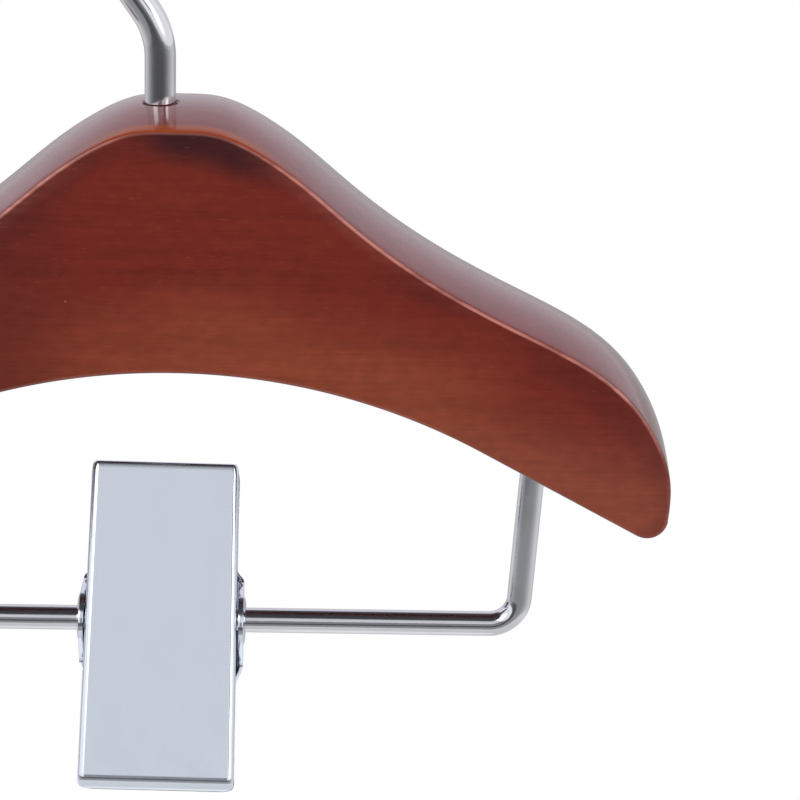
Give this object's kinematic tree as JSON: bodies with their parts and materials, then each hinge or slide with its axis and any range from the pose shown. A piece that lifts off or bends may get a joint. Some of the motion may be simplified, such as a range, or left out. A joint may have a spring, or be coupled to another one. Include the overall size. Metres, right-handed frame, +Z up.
{
  "type": "pet clothes hanger",
  "caption": "Wooden pet clothes hanger with a swivelling wire hook and a wire bar that carries a sliding, swinging sprung clip.",
  "frame": {"origin": "hook seat, the inside top of the hook, where a rail carries the hanger", "axes": "+Z up, +X to the viewer's right along the hanger, +Y to the back, so the front faces -Y"},
  "size_m": [0.1746, 0.0366, 0.1894],
  "materials": {
    "lacquered_wood": "glossy red-brown lacquer",
    "bright_chrome": "bright chrome plate",
    "zinc_plate": "zinc plated",
    "tempered_steel": "bare spring steel",
    "grey_vinyl": "matt grey vinyl"
  },
  "bodies": {
    "hook": {"swivel_hook": "bright_chrome", "hook_washer": "zinc_plate", "hook_nut": "zinc_plate"},
    "hanger": {"wooden_body": "lacquered_wood", "clip_bar": "bright_chrome"},
    "clip_carriage": {"clip_sleeve": "zinc_plate"},
    "rear_jaw": {"clip_rear_jaw": "bright_chrome", "rear_jaw_pad": "grey_vinyl", "clip_spring": "tempered_steel"},
    "front_jaw": {"clip_front_jaw": "bright_chrome", "front_jaw_pad": "grey_vinyl"}
  },
  "joints": [
    {"name": "hook_swivel", "type": "hinge", "parent": "hook", "child": "hanger", "pos_m": [-0.0029, 0, -0.05858], "axis": [0, 0, 1], "continuous": true},
    {"name": "clip_slide", "type": "slide", "parent": "hanger", "child": "clip_carriage", "axis": [1, 0, 0], "range_m": [-0.038, 0.043]},
    {"name": "clip_swing", "type": "hinge", "parent": "clip_carriage", "child": "rear_jaw", "pos_m": [-0.0025, 0, -0.15454], "axis": [0.9999, 0, -0.014], "continuous": true},
    {"name": "jaw_open", "type": "hinge", "parent": "rear_jaw", "child": "front_jaw", "pos_m": [-0.0025, 0, -0.15454], "axis": [-0.9999, 0, 0.014], "range_deg": [0, 18], "stiffness_Nm_per_rad": 0.12, "springref_deg": -34.38, "deforming": ["clip_spring"]}
  ]
}
